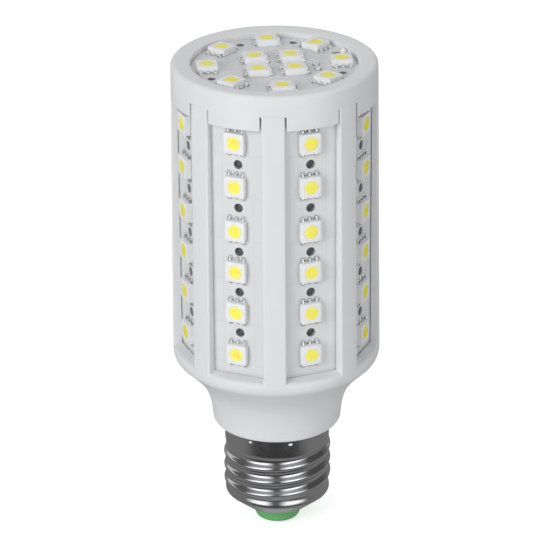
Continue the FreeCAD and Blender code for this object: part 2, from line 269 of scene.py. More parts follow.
cap = dict(columns=256, rimEdge=1.06, rimSteps=10, wellRadius=19.6, wellDrop=0.4, wellEdge=0.3, wellSteps=5,
           wellFloorZ=117.8, ledge=1.4, under=(21.6, 117.7),
           tabHalf=3.1, tabInner=23.05, tabEdge=0.2, tabSteps=4, tabColumns=24, overlap=0.2)


def capProfile():
    # (radius, z) up the wall of the well, over its round edge and the round rim, down and back in below
    h = housing
    c = cap
    edge = c["rimEdge"]
    wellEdge = c["wellEdge"]
    wellTop = h["rimZ"] - c["wellDrop"]
    wellMiddle = (c["wellRadius"] + wellEdge, wellTop - wellEdge)
    rows = [(c["wellRadius"], c["wellFloorZ"]), (c["wellRadius"], wellTop - wellEdge)]
    rows += arcPoints(wellMiddle, wellEdge, 180, 90, c["wellSteps"])[1:].tolist()
    rows += arcPoints((bodyRadius(h["rimZ"]) - edge, h["rimZ"] - edge), edge, 90, 0, c["rimSteps"]).tolist()
    notch = h["notchZ"]
    return rows + [(bodyRadius(notch), notch), (c["tabInner"] - c["ledge"], notch), c["under"]]


def tabSolid():
    # a section of outer wall, bottom with two round edges and inner wall, carried round Z between two ribs
    c = cap
    edge = c["tabEdge"]
    low = housing["tabZ"]
    high = housing["notchZ"]
    outer = bodyRadius(low)
    middle = 180 / housing["sides"]
    reach = middle - math.degrees(math.asin(c["tabHalf"] / outer))
    angles = np.radians(np.linspace(-reach, reach, c["tabColumns"] + 1) - 90 + middle)
    section = [(bodyRadius(high), high + c["overlap"]), (bodyRadius(high), high)]
    section += arcPoints((outer - edge, low + edge), edge, 0, -90, c["tabSteps"]).tolist()
    section += arcPoints((c["tabInner"] + edge, low + edge), edge, -90, -180, c["tabSteps"]).tolist()
    section = np.array(section + [(c["tabInner"], high + c["overlap"])])
    return loft([ringPoints(section[:, 0], angle, section[:, 1]) for angle in angles])


def makeUpperHousing():
    # the turned ring with a tab on each side
    ring = turnedSolid(capProfile(), cap["columns"])
    return addMesh("upperHousing", *joined([ring] + onEachSide(*tabSolid())), ["top_cap"])


upperHousing = makeUpperHousing()


# Boards

strip = dict(rows=[107.9, 97.1, 86.0, 75.7, 65.25, 54.4], drop=5.6, holeRadius=1.1, holeX=0.15, emitterX=-0.25,
             across=12, upwards=8)  # a hole lies drop below each row but the last
# pad: the grey film behind each side board, painted shade for the shaded inside of the lamp seen through the
# holes
pad = dict(margin=0.6, gap=0.03, thickness=0.1)
topBoard = dict(radius=19.5, z=117.7, turn=7.4, count=8, ring=15.75, square=8.55, holeRadius=0.9,
                holeCircle=16.5, holes=[1, 3, 4, 6])


def holedCell(low, high, hole, front, back):
    # a rectangle drawn in to a round hole, through it, and out again behind: hole + r (p - hole) / |p - hole|
    half = board["halfWidth"]
    across = np.linspace(-half, half, strip["across"] + 1)[:-1]
    upwards = np.linspace(low, high, strip["upwards"] + 1)[:-1]
    bottom = np.stack([across, np.full_like(across, low)], 1)
    right = np.stack([np.full_like(upwards, half), upwards], 1)
    top = np.stack([-across, np.full_like(across, high)], 1)
    left = np.stack([np.full_like(upwards, -half), low + high - upwards], 1)
    rim = np.concatenate([bottom, right, top, left])
    middle = [strip["holeX"], hole]
    away = rim - middle
    circle = middle + strip["holeRadius"] * away / np.linalg.norm(away, axis=1)[:, None]
    loops = [(rim, front), (circle, front), (circle, back), (rim, back)]
    grid = np.array([[(x, y, z) for x, z in loop] for loop, y in loops])
    return grid.reshape(-1, 3), gridFaces(len(loops), len(rim))


def blockCorners(half, near, far, low, high):
    # the corners of an upright block, anticlockwise from the front left, the lower four first
    outline = [(-half, near), (half, near), (half, far), (-half, far)]
    return [(x, y, z) for z in (low, high) for x, y in outline]


def makeSideBoard(index):
    # a cell for each hole, the walls round them, and behind the board a grey film that closes its holes:
    # painted shade, a dark sheet standing for the shaded inside of the lamp seen through them
    holes = [z - strip["drop"] for z in strip["rows"][:-1]][::-1]
    lines = [board["floorZ"]] + [(a + b) / 2 for a, b in zip(holes, holes[1:])] + [board["topZ"]]
    front = -board["face"]
    back = front + board["thickness"]
    parts = [holedCell(low, high, hole, front, back) for hole, low, high in zip(holes, lines, lines[1:])]
    walls = [[1, 2, 6, 5], [3, 0, 4, 7], [0, 3, 2, 1], [4, 5, 6, 7]]
    parts.append((blockCorners(board["halfWidth"], front, back, board["floorZ"], board["topZ"]), walls))
    near = back + pad["gap"]
    # the film is painted shade: its dark grey stands for the shaded inside of the lamp behind the holes
    film = blockCorners(board["halfWidth"] - pad["margin"], near, near + pad["thickness"],
                        board["floorZ"] + pad["margin"], board["topZ"] - pad["margin"])
    shadeFilmFaces = walls + [[0, 1, 5, 4], [2, 3, 7, 6]]
    parts.append((film, shadeFilmFaces))
    flat, faces = joined(parts)
    points = turnAbout(flat, 360 / housing["sides"] * (index + 0.5))
    number = index + 1
    piece = addMesh("sideBoard%d" % number, points, faces, ["side_board_%d" % number])
    keepValues(piece, "boardPlace", flat[:, [0, 2, 1]])
    # of the three bands of faces in a cell the second is the wall of the hole, which shows the board's core
    around = 2 * (strip["across"] + strip["upwards"])
    order = np.arange(len(faces))
    isCore = (order < 3 * around * len(holes)) & (order // around % 3 == 1)
    isShadeFilm = order >= len(faces) - len(shadeFilmFaces)
    piece.data.polygons.foreach_set("material_index", (isCore + 2 * isShadeFilm).astype(np.int32))
    return piece


sideBoards = [makeSideBoard(k) for k in range(housing["sides"])]


# Emitters

package = dict(half=2.5, height=1.6, columns=40, cornerPower=16, draft=0.03, edge=0.08, edgeShare=0.3,
               undercut=0.16, standOff=0.12, standEdge=0.03,
               cupRim=1.8, cupFloor=1.7, cupDepth=0.12, cupBevel=(0.06, 0.04))
window = dict(radius=1.75, columns=32,
              rings=[(1, 0), (1, 0.06), (0.97, 0.085), (0.84, 0.095), (0.66, 0.105), (0.35, 0.115)])
lead = dict(pitch=1.72, width=1.2, reach=1.08, rise=0.8, middleShare=0.85, taper=0.3, across=9, along=6)


def emitterPlaces():
    # side emitters lie on the faces of the boards; the top ones stand in a ring and a square on the round board
    t = topBoard
    lie = np.array([[1, 0, 0], [0, 0, -1], [0, 1, 0]])
    quarter = turnMatrix(90)
    level = t["z"] + board["thickness"]
    half = t["square"] / 2
    places = {"side": [], "top": []}
    for k in range(housing["sides"]):
        turn = turnMatrix(360 / housing["sides"] * (k + 0.5))
        for z in strip["rows"]:
            places["side"].append((turn @ lie, turn @ np.array([strip["emitterX"], -board["face"], z])))
    for k in range(t["count"]):
        turn = turnMatrix(t["turn"] + 360 / t["count"] * k)
        places["top"].append((turn @ quarter, turn @ np.array([0, -t["ring"], level])))
    turn = turnMatrix(t["turn"])
    for x in (-half, half):
        for y in (-half, half):
            places["top"].append((turn @ quarter, turn @ np.array([x, y, level])))
    return {group: [np.array(values) for values in zip(*pairs)] for group, pairs in places.items()}


def packageMesh():
    # rings of radius h / (|cos a|^p + |sin a|^p)^(1/p) outside, plain circles in the cup
    p = package
    angle = circleAngles(p["columns"])
    power = p["cornerPower"]
    square = 1 / (np.abs(np.cos(angle)) ** power + np.abs(np.sin(angle)) ** power) ** (1 / power)
    high = p["height"]
    edge = p["edge"]
    part = p["edgeShare"] * edge
    foot = p["half"] - p["undercut"]
    side = p["half"] - p["draft"]
    outside = [(foot, 0), (foot, p["standOff"]), (p["half"], p["standOff"] + p["standEdge"]),
               (side, high - edge), (side - part, high - part), (side - edge, high)]
    cup = [(p["cupRim"] + p["cupBevel"][0], high), (p["cupRim"], high - p["cupBevel"][1]),
           (p["cupFloor"], high - p["cupDepth"])]
    rows = [ringPoints(radius * square, angle, z) for radius, z in outside]
    return loft(rows + [ringPoints(radius, angle, z) for radius, z in cup])


def windowMesh():
    # a very flat dome through rings of (share of the radius, height above the floor of the cup)
    angle = circleAngles(window["columns"])
    base = package["height"] - package["cupDepth"]
    return loft([ringPoints(window["radius"] * share, angle, base + z) for share, z in window["rings"]])


def leadMesh():
    # a drop of solder on each lead, u from 0 to 1 away from the package and v from -1 to 1 across:
    # height rise ((1 - u^4) (1 - v^4))^0.5, half width (1 - taper u^3) width / 2; the middle one is smaller
    u = np.sin(np.linspace(0, 1, lead["along"]) * math.pi / 2)[:, None]
    v = np.sin(np.linspace(-1, 1, lead["across"]) * math.pi / 2)[None, :]
    faces = gridFaces(lead["along"], lead["across"], closed=False)
    parts = []
    for side in (1, -1):
        for k in (-1, 0, 1):
            big = 1.0 if k else lead["middleShare"]
            reach = lead["reach"] * big + package["undercut"]
            x = k * lead["pitch"] + big * lead["width"] / 2 * (1 - lead["taper"] * u ** 3) * v
            y = side * (package["half"] - package["undercut"] + reach * u + 0 * v)
            z = lead["rise"] * big * np.sqrt((1 - u ** 4) * (1 - v ** 4))
            parts.append((np.stack([x, y, z], -1).reshape(-1, 3), faces if side == 1 else faces[:, ::-1]))
    return joined(parts)


places = emitterPlaces()
emitterPieces = {}
for kind, make in (("bodies", packageMesh), ("windows", windowMesh), ("solder", leadMesh)):
    shape = make()
    for group in ("side", "top"):
        turns, moves = places[group]
        points, faces = copies(*shape, turns, moves)
        node = "%s_emitter_%s" % (group, kind)
        piece = addMesh(group + "Emitter" + kind.capitalize(), points, faces, [node], 30)
        emitterPieces[node] = piece
        if kind == "windows":
            reach = np.repeat([share for share, z in window["rings"]], window["columns"])
            keepValues(piece, "fromMiddle", np.tile(reach, len(turns)))


# Top board with its holes, and what stands on it

plate = dict(columns=160, holeColumns=28, gapHole=(14.35, 8.75, 1.15, 0.75, 32.0), closeness=1e-6)
drop = dict(radius=0.95, height=0.85, columns=28, places=[(9.70, 0.875), (10.20, -2.325)],
            shares=[1.0, 0.97, 0.9, 0.78, 0.62, 0.45, 0.28, 0.12], power=2.5, roundness=0.6,
            hollows=(0.62, 0.12), hollowReach=0.38, sunk=0.02)
dab = dict(circle=18.65, angle=30.2, radius=0.7254, height=1.15, columns=32,
           shares=[1.0, 0.96, 0.88, 0.75, 0.58, 0.4, 0.2], waves=[(0.06, 3, 0), (0.04, 5, 1)], sunk=0.02)


def ovalLoop(x, y, halfLong, halfShort, turn, columns):
    # middle + turned (long cos a, short sin a)
    angle = circleAngles(columns)
    long = halfLong * np.cos(angle)
    short = halfShort * np.sin(angle)
    swing = math.radians(turn)
    return np.stack([x + long * math.cos(swing) - short * math.sin(swing),
                     y + long * math.sin(swing) + short * math.cos(swing)], 1)


def makeTopPlate():
    # a flat outline with holes, filled with triangles, at two heights, with walls along each loop
    t = topBoard
    outerCount = plate["columns"]
    loops = [ovalLoop(0, 0, t["radius"], t["radius"], 0, outerCount)]
    for k in t["holes"]:
        angle = math.radians(t["turn"] + (k + 0.5) * 360 / t["count"] - 90)
        x = t["holeCircle"] * math.cos(angle)
        y = t["holeCircle"] * math.sin(angle)
        loops.append(ovalLoop(x, y, t["holeRadius"], t["holeRadius"], 0, plate["holeColumns"]))
    loops.append(ovalLoop(*plate["gapHole"], plate["holeColumns"]))
    starts = np.cumsum([0] + [len(loop) for loop in loops[:-1]])
    edges = [(start + k, start + (k + 1) % len(loop)) for start, loop in zip(starts, loops)
             for k in range(len(loop))]
    corners = [Vector(p) for p in np.concatenate(loops)]
    outlines = [list(range(start, start + len(loop))) for start, loop in zip(starts, loops)]
    filled = delaunay_2d_cdt(corners, [], outlines, 0, plate["closeness"])
    triangles = [list(face) for face, owners in zip(filled[2], filled[5]) if list(owners) == [0]]
    flat = np.array([tuple(p) for p in filled[0]])
    count = len(flat)
    high = np.column_stack([flat, np.full(count, t["z"] + board["thickness"])])
    low = np.column_stack([flat, np.full(count, t["z"])])
    faces = triangles + [[k + count for k in face[::-1]] for face in triangles]
    firstHoleWall = len(faces) + outerCount
    faces += [[b, b + count, a + count, a] for a, b in edges[:outerCount]]
    faces += [[a, a + count, b + count, b] for a, b in edges[outerCount:]]
    points = np.concatenate([high, low])
    piece = addMesh("topPlate", points, faces, ["top_board"])
    keepValues(piece, "boardPlace", points)
    # the walls of the holes show the board's core
    isCore = np.arange(len(faces)) >= firstHoleWall
    piece.data.polygons.foreach_set("material_index", isCore.astype(np.int32))
    return piece


def makeWireDrops():
    # a drop z = h (1 - r^2.5)^0.6 less a hollow d h exp(-(r / 0.38)^2) (1 - r): d is large in the first drop,
    # where the wire's end was cut, and small in the second
    share = np.array(drop["shares"])
    level = topBoard["z"] + board["thickness"]
    parts = []
    for hollow, (x, y) in zip(drop["hollows"], drop["places"]):
        height = drop["height"] * (1 - share ** drop["power"]) ** drop["roundness"]
        height = height - hollow * drop["height"] * np.exp(-(share / drop["hollowReach"]) ** 2) * (1 - share)
        profile = np.column_stack([share * drop["radius"], height])
        grid = turnedGrid(profile, drop["columns"]) + np.array([x, y, level])
        parts.append(loft(np.concatenate([grid[:1] - np.array([0, 0, drop["sunk"]]), grid])))
    points, faces = joined(parts)
    return addMesh("wireDrops", points, faces, ["wire_joints"], 60)


def makeSealantDab():
    # an uneven drop: radius R (1 + 0.06 sin 3a + 0.04 sin(5a + 1)), height h (1 - r^2)^0.5
    share = np.array(dab["shares"])[:, None]
    angle = circleAngles(dab["columns"])
    wave = 1 + sum(size * np.sin(count * angle + shift) for size, count, shift in dab["waves"])
    place = math.radians(dab["angle"])
    middle = dab["circle"] * np.array([math.cos(place), math.sin(place), 0])
    z = topBoard["z"] + board["thickness"] - dab["sunk"] + dab["height"] * np.sqrt(1 - share ** 2)
    points, faces = loft(middle + ringPoints(dab["radius"] * share * wave, angle, z))
    return addMesh("sealantDab", points, faces, ["glue_dab"], 60)


topPlate = makeTopPlate()
wireDrops = makeWireDrops()
sealantDab = makeSealantDab()


# Screw cap

screw = dict(pitch=3.629, crest=13.1, root=12.45, sharpness=1.25, frontZ=15.6, columns=320, rows=150,
             lowFade=(9.4, 11.0), highFade=(20.4, 21.9), collar=12.78, collarFade=(21.3, 22.4), neckZ=27.9,
             skirtZ=8.55, skirtFade=(8.55, 10.75), skirtRadius=12.78, knee=0.5, kneeArc=-44, kneeSteps=5,
             crimpZ=4.75, crimpRadius=8.3, roll=0.28, rollGap=0.05, rollSteps=8, coneSteps=12,
             wall=0.3, crimpInside=1.0, skirtInside=0.2,
             dimples=8, dimpleTurn=15.7, dimpleZ=26.1, dimpleRadius=0.4, dimpleDepth=0.15, dimpleFall=1.6)
base = dict(stem=1.6, topZ=5.75, insulatorGap=0.24, insulatorRise=0.3, insulatorZ=0.45, dishStart=(0.2, 0.15),
            dish=[(7.0, 4.5), (5.7, 4.1), (5.65, 3.4)], dishSteps=8,
            button=[(5.6, 1.7), (5.5, 1.0), (5.05, 0.5), (4.2, 0.45)], buttonSteps=10, insulatorColumns=128,
            contactRadius=3.3, contactLap=0.2, contactEdge=0.15, contactSteps=5, contactColumns=96, pin=0.001)


def smoothStep(value, low, high):
    # t^2 (3 - 2t), t going from 0 at low to 1 at high
    t = np.clip((value - low) / (high - low), 0, 1)
    return t * t * (3 - 2 * t)


def shellWall(angle):
    # r = root + (crest - root) w, w = (0.5 + 0.5 cos 2 pi ((z - z0) / pitch - a / 360))^sharpness, faded into
    # the collar and the skirt, less a row of dimples of depth d exp(-(1.6 distance / radius)^2)
    s = screw
    azimuth = (angle + math.pi / 2) / (2 * math.pi)
    z = np.linspace(s["neckZ"], s["skirtZ"], s["rows"])[:, None] + 0 * angle
    phase = (z - s["frontZ"]) / s["pitch"] - azimuth
    wave = (0.5 + 0.5 * np.cos(2 * math.pi * phase)) ** s["sharpness"]
    fade = smoothStep(z, *s["lowFade"]) * (1 - smoothStep(z, *s["highFade"]))
    radius = s["root"] + (s["crest"] - s["root"]) * wave * fade
    collarShare = smoothStep(z, *s["collarFade"])
    radius = radius * (1 - collarShare) + s["collar"] * collarShare
    skirtShare = 1 - smoothStep(z, *s["skirtFade"])
    radius = np.maximum(radius, s["root"] + (s["skirtRadius"] - s["root"]) * skirtShare)
    turn = (np.degrees(azimuth * 2 * math.pi) - s["dimpleTurn"]) % (360 / s["dimples"])
    turn = np.minimum(turn, 360 / s["dimples"] - turn)
    away = np.hypot(np.radians(turn) * s["collar"], z - s["dimpleZ"]) / s["dimpleRadius"]
    radius = radius - s["dimpleDepth"] * np.exp(-(away * s["dimpleFall"]) ** 2)
    return ringPoints(radius, angle, z)


def shellCone():
    # (radius, z) from the skirt's round knee down a straight cone to the rolled edge, then up the inside
    s = screw
    arc = s["kneeArc"]
    knee = arcPoints((s["skirtRadius"] - s["knee"], s["skirtZ"]), s["knee"], 0, arc, s["kneeSteps"])[1:]
    rollMiddle = (s["crimpRadius"] + s["rollGap"], s["crimpZ"] + s["roll"])
    roll = arcPoints(rollMiddle, s["roll"], arc, -180, s["rollSteps"])
    steps = np.linspace(0, 1, s["coneSteps"])[1:-1, None]
    inner = s["root"] - s["wall"]
    inside = [(s["crimpRadius"], s["crimpZ"] + s["crimpInside"]), (inner, s["skirtZ"] + s["skirtInside"]),
              (inner, s["neckZ"])]
    return np.concatenate([knee, knee[-1] * (1 - steps) + roll[0] * steps, roll, inside])


def makeScrewShell():
    # the threaded wall and the turned cone as one closed grid
    columns = screw["columns"]
    grid = np.concatenate([shellWall(circleAngles(columns)), turnedGrid(shellCone(), columns)])
    return addMesh("screwShell", grid.reshape(-1, 3), ringFaces(len(grid), columns), ["screw_shell"], 50)


def makeInsulator():
    # a disc, a shallow dish below it, and a button whose foot is rounded by a curve
    s = screw
    b = base
    rim = s["crimpRadius"] - b["insulatorGap"]
    outward, upward = b["dishStart"]
    profile = [(b["stem"], b["topZ"]), (rim, b["topZ"]), (rim, s["crimpZ"] + b["insulatorRise"])]
    profile += bezierPoints([(rim - outward, s["crimpZ"] + upward), *b["dish"]], b["dishSteps"]).tolist()
    profile += bezierPoints(b["button"], b["buttonSteps"]).tolist()
    profile += [(b["contactRadius"] - b["contactLap"], b["insulatorZ"]), (b["stem"], b["insulatorZ"])]
    points, faces = turnedSolid(profile, b["insulatorColumns"])
    return addMesh("insulatorButton", points, faces, ["insulator"], 40)


def makeContact():
    # a rivet: a stem through the insulator and a flat head with a round edge
    b = base
    edge = b["contactEdge"]
    profile = [(b["pin"], b["topZ"]), (b["stem"], b["topZ"]), (b["stem"], b["insulatorZ"]),
               (b["contactRadius"], b["insulatorZ"])]
    profile += arcPoints((b["contactRadius"] - edge, edge), edge, 0, -90, b["contactSteps"]).tolist()
    points, faces = turnedSolid(profile + [(b["pin"], 0)], b["contactColumns"])
    return addMesh("contactRivet", points, faces, ["centre_contact"], 40)


screwShell = makeScrewShell()
insulatorButton = makeInsulator()
contactRivet = makeContact()


# Finishes

moulded = dict(scale=350.0, fineScale=2500.0, detail=3.0, bump=0.05, distance=0.00002, coatRoughness=0.08)
phosphor = dict(spread=0.05, scale=1500.0, bump=0.1, coat=0.35, patchScale=520.0, patchDetail=2.0,
                patchStep=(0.5, 0.72), patchShare=0.45, rimStep=(0.68, 1.0), rimShare=0.8)
mask = dict(spread=0.03, coat=0.25, across=(3.9, 6.1), upwards=5.2, shift=200.0, period=10.7, step=(0.1, 0.28),
            share=0.06, tone=(0.35, 0.36, 0.36, 1), depth=1.5)
plating = dict(spread=0.05, scale=220.0, stretch=(1.0, 1.0, 30.0), ringScale=260.0, ringDetail=3.0,
               dullScale=130.0, dullDetail=4.0, dullStep=(0.35, 0.75), dullRise=0.12)


def emptyTree(owner, kind):
    # the node tree of a material or world with only its output, whose surface is given back too
    owner.use_nodes = True
    tree = owner.node_tree
    tree.nodes.clear()
    return tree, tree.nodes.new("ShaderNodeOutput" + kind).inputs["Surface"]


def addNode(tree, kind, inputs=(), **settings):
    # a node whose inputs are numbers, colours or the outputs of other nodes, in order or by name
    node = tree.nodes.new("ShaderNode" + kind)
    for key, value in settings.items():
        setattr(node, key, value)
    for key, value in (inputs.items() if isinstance(inputs, dict) else enumerate(inputs)):
        if isinstance(value, bpy.types.NodeSocket):
            tree.links.new(value, node.inputs[key])
        else:
            node.inputs[key].default_value = value
    return node


def mathNode(tree, operation, *values):
    # one step of arithmetic
    return addNode(tree, "Math", values, operation=operation).outputs[0]


def softStep(tree, value, low, high, start=0.0, end=1.0):
    # a smooth rise from start at low to end at high
    inputs = {"Value": value, "From Min": low, "From Max": high, "To Min": start, "To Max": end}
    return addNode(tree, "MapRange", inputs, interpolation_type="SMOOTHSTEP").outputs["Result"]


def blendValues(tree, share, first, second):
    # first where the share is 0, second where it is 1
    return addNode(tree, "MapRange", {"Value": share, "To Min": first, "To Max": second}).outputs["Result"]


def mixColours(tree, factor, first, second):
    # first (1 - factor) + second factor; the sockets are numbered because their names repeat
    return addNode(tree, "Mix", {0: factor, 6: first, 7: second}, data_type="RGBA").outputs[2]


def readAttribute(tree, name):
    # a value that keepValues stored
    return addNode(tree, "Attribute", attribute_name=name)


def grainGroup():
    # two sizes of soft noise on Object coordinates: colour (1 + spread (broad - 0.5)), and the fine as height
    group = bpy.data.node_groups.new("mouldedGrain", "ShaderNodeTree")
    for name, kind, value in (("Scale", "Float", 400.0), ("Fine Scale", "Float", 3000.0),
                              ("Colour", "Color", (0.8, 0.8, 0.8, 1)), ("Spread", "Float", 0.05)):
        socket = group.interface.new_socket(name, in_out="INPUT", socket_type="NodeSocket" + kind)
        socket.default_value = value
    group.interface.new_socket("Colour", in_out="OUTPUT", socket_type="NodeSocketColor")
    group.interface.new_socket("Height", in_out="OUTPUT", socket_type="NodeSocketFloat")
    inputs = group.nodes.new("NodeGroupInput").outputs
    outputs = group.nodes.new("NodeGroupOutput").inputs
    place = addNode(group, "TexCoord").outputs["Object"]
    broad, fine = [addNode(group, "TexNoise", {"Vector": place, "Scale": inputs[scale],
                                               "Detail": moulded["detail"]}).outputs["Fac"]
                   for scale in ("Scale", "Fine Scale")]
    centred = mathNode(group, "SUBTRACT", broad, 0.5)
    factor = mathNode(group, "MULTIPLY_ADD", centred, inputs["Spread"], 1.0)
    tint = addNode(group, "VectorMath", {0: inputs["Colour"], "Scale": factor}, operation="SCALE")
    group.links.new(tint.outputs[0], outputs["Colour"])
    group.links.new(fine, outputs["Height"])
    return group


def linear(red, green, blue):
    # screen values of 0 to 255 as the shader's linear colour, by the usual screen curve
    shares = [value / 255 for value in (red, green, blue)]
    return (*[x / 12.92 if x <= 0.04045 else ((x + 0.055) / 1.055) ** 2.4 for x in shares], 1)


grain = grainGroup()


def mouldedMaterial(name, colour, roughness, spread=0.04, scale=moulded["scale"], bump=moulded["bump"],
                    metallic=0.0, coat=0.0):
    # a plain surface of a screen colour, with the grain in it and as a faint bump
    material = bpy.data.materials.new(name)
    tree, surface = emptyTree(material, "Material")
    sizes = {"Scale": scale, "Fine Scale": moulded["fineScale"], "Colour": linear(*colour), "Spread": spread}
    grained = addNode(tree, "Group", sizes, node_tree=grain)
    height = addNode(tree, "Bump", {"Strength": bump, "Distance": moulded["distance"],
                                    "Height": grained.outputs["Height"]})
    shader = addNode(tree, "BsdfPrincipled", {
        "Base Color": grained.outputs["Colour"], "Normal": height.outputs["Normal"], "Roughness": roughness,
        "Metallic": metallic, "Coat Weight": coat, "Coat Roughness": moulded["coatRoughness"]})
    tree.links.new(shader.outputs["BSDF"], surface)
    return material


def partsOf(material):
    # the node tree, the shader and the bump of a moulded material, for the finishes that add to it
    tree = material.node_tree
    return tree, tree.nodes["Principled BSDF"], tree.nodes["Bump"]


def phosphorMaterial(name, colour, pale, warm, roughness):
    # yellow in the middle and pale at the rim, with warm patches that differ from window to window
    p = phosphor
    material = mouldedMaterial(name, colour, roughness, p["spread"], p["scale"], p["bump"], coat=p["coat"])
    tree, shader = partsOf(material)[:2]
    plain = shader.inputs["Base Color"].links[0].from_socket
    place = addNode(tree, "TexCoord").outputs["Object"]
    patches = addNode(tree, "TexNoise", {"Vector": place, "Scale": p["patchScale"], "Detail": p["patchDetail"]})
    warmth = softStep(tree, patches.outputs["Fac"], *p["patchStep"], 0.0, p["patchShare"])
    mottled = mixColours(tree, warmth, plain, linear(*warm))
    reach = readAttribute(tree, "fromMiddle").outputs["Fac"]
    rim = softStep(tree, reach, *p["rimStep"], 0.0, p["rimShare"])
    tree.links.new(mixColours(tree, rim, mottled, linear(*pale)), shader.inputs["Base Color"])
    return material


def boardMaterial(name, colour, roughness):
    # solder mask over copper: fine gaps between the copper areas show as faint lines, a little sunk
    # line(v) = 1 - step(| |v| - place |, 0.1 mm, 0.28 mm), with v across the board, or upwards and repeating
    m = mask
    material = mouldedMaterial(name, colour, roughness, m["spread"], coat=m["coat"])
    tree, shader, height = partsOf(material)
    plain = shader.inputs["Base Color"].links[0].from_socket
    grained = height.inputs["Height"].links[0].from_socket
    place = readAttribute(tree, "boardPlace").outputs["Vector"]
    x, y = addNode(tree, "SeparateXYZ", [place]).outputs[:2]
    across = mathNode(tree, "ABSOLUTE", x)
    shifted = mathNode(tree, "ADD", y, m["shift"])
    upwards = mathNode(tree, "PINGPONG", shifted, m["period"])
    lines = None
    for value, where in ((across, m["across"][0]), (across, m["across"][1]), (upwards, m["upwards"])):
        away = mathNode(tree, "ABSOLUTE", mathNode(tree, "SUBTRACT", value, where))
        line = softStep(tree, away, *m["step"], 1.0, 0.0)
        lines = line if lines is None else mathNode(tree, "MAXIMUM", lines, line)
    shade = mathNode(tree, "MULTIPLY", lines, m["share"])
    sunk = mathNode(tree, "MULTIPLY", lines, m["depth"])
    tree.links.new(mixColours(tree, shade, plain, m["tone"]), shader.inputs["Base Color"])
    tree.links.new(mathNode(tree, "SUBTRACT", grained, sunk), height.inputs["Height"])
    return material


def platedMaterial(name, colour, roughness, scratch):
    # drawn and plated sheet: fine rings round the axis as a bump, and a few duller patches
    p = plating
    material = mouldedMaterial(name, colour, roughness, p["spread"], p["scale"], metallic=1.0)
    tree, shader, height = partsOf(material)
    place = addNode(tree, "TexCoord").outputs["Object"]
    stretched = addNode(tree, "Mapping", {"Vector": place, "Scale": p["stretch"]}).outputs[0]
    rings = addNode(tree, "TexNoise", {"Vector": stretched, "Scale": p["ringScale"], "Detail": p["ringDetail"]})
    dull = addNode(tree, "TexNoise", {"Vector": place, "Scale": p["dullScale"], "Detail": p["dullDetail"]})
    rough = softStep(tree, dull.outputs["Fac"], *p["dullStep"], roughness, roughness + p["dullRise"])
    tree.links.new(rough, shader.inputs["Roughness"])
    tree.links.new(rings.outputs["Fac"], height.inputs["Height"])
    height.inputs["Strength"].default_value = scratch
    return material


finishes = {
    "housing": mouldedMaterial("whiteHousing", (230, 231, 233), 0.42, spread=0.03),
    "board": boardMaterial("whiteSolderMask", (221, 222, 224), 0.35),
    "core": mouldedMaterial("boardCore", (165, 163, 160), 0.6, spread=0.1),
    # the grey film behind the boards' holes is painted shade, a dark sheet for the lamp's shaded inside
    "pad": mouldedMaterial("holeShadeFilm", (98, 98, 101), 0.5, spread=0.15),
    "package": mouldedMaterial("whitePackage", (240, 241, 242), 0.3, spread=0.03),
    "window": phosphorMaterial("yellowPhosphor", (253, 244, 84), (247, 245, 196), (255, 205, 92), 0.25),
    "solder": mouldedMaterial("brightSolder", (224, 224, 224), 0.25, spread=0.1, metallic=1.0),
    "glue": mouldedMaterial("whiteSealant", (240, 240, 240), 0.4),
    "shell": platedMaterial("nickelPlate", (212, 212, 214), 0.08, 0.12),
    "insulator": mouldedMaterial("greenPlastic", (112, 186, 118), 0.3, spread=0.05),
    "contact": platedMaterial("contactMetal", (205, 200, 185), 0.2, 0.1),
    "driver": mouldedMaterial("greenLaminate", (40, 110, 70), 0.45),
    "film": mouldedMaterial("dippedFilm", (160, 60, 35), 0.3),
    "sleeve": mouldedMaterial("blackSleeve", (30, 30, 33), 0.35),
    "black": mouldedMaterial("blackPackage", (35, 35, 35), 0.5),
    "resistor": mouldedMaterial("resistorLacquer", (120, 160, 180), 0.4),
    "wire_black": mouldedMaterial("blackWire", (30, 30, 30), 0.5),
    "wire_white": mouldedMaterial("whiteWire", (225, 225, 225), 0.5),
    "wire_red": mouldedMaterial("redWire", (170, 40, 35), 0.5),
}


def finish(piece, slot):
    # a part of the frame keeps its own slot; a piece made here gets the material and is told its slot
    if piece.name in frame["nodes"]:
        piece.material_slots[0].material = finishes[slot]
    else:
        piece.data.materials.append(finishes[slot])


slotOf = {entry["node"]: entry["material_slot"] for entry in frame["record"]["subparts"]}
for node, thing in frame["nodes"].items():
    finish(thing, slotOf[node])
for piece, slot in ((lowerHousing, "housing"), (upperHousing, "housing"), (screwShell, "shell"),
                    (insulatorButton, "insulator"), (contactRivet, "contact"), (topPlate, "board"),
                    (wireDrops, "solder"), (sealantDab, "glue")):
    finish(piece, slot)
topPlate.data.materials.append(finishes["core"])
for piece in sideBoards:
    finish(piece, "board")
    piece.data.materials.append(finishes["core"])
    piece.data.materials.append(finishes["pad"])
for node, piece in emitterPieces.items():
    finish(piece, slotOf[node])
print("finishes set:", len(finishes))


# Camera, lamps and surroundings

view = dict(place=(10.65, -654.40, 364.07), target=(-0.214, 0.0, 65.6), roll=-0.428, lens=196.2, sensor=36,
            clip=(0.01, 20))
lamps = [("keyLamp", (-0.75, -0.95, 0.6), 0.7, 9.3), ("fillLamp", (0.9, -0.7, 0.35), 0.8, 3.1),
         ("topLamp", (0.1, 0.3, 1.2), 0.8, 2.0), ("backLamp", (-0.1, 1.25, 0.2), 0.8, 4.0)]
lampAim = (0, 0, 0.07)
white = (1, 1, 1, 1)
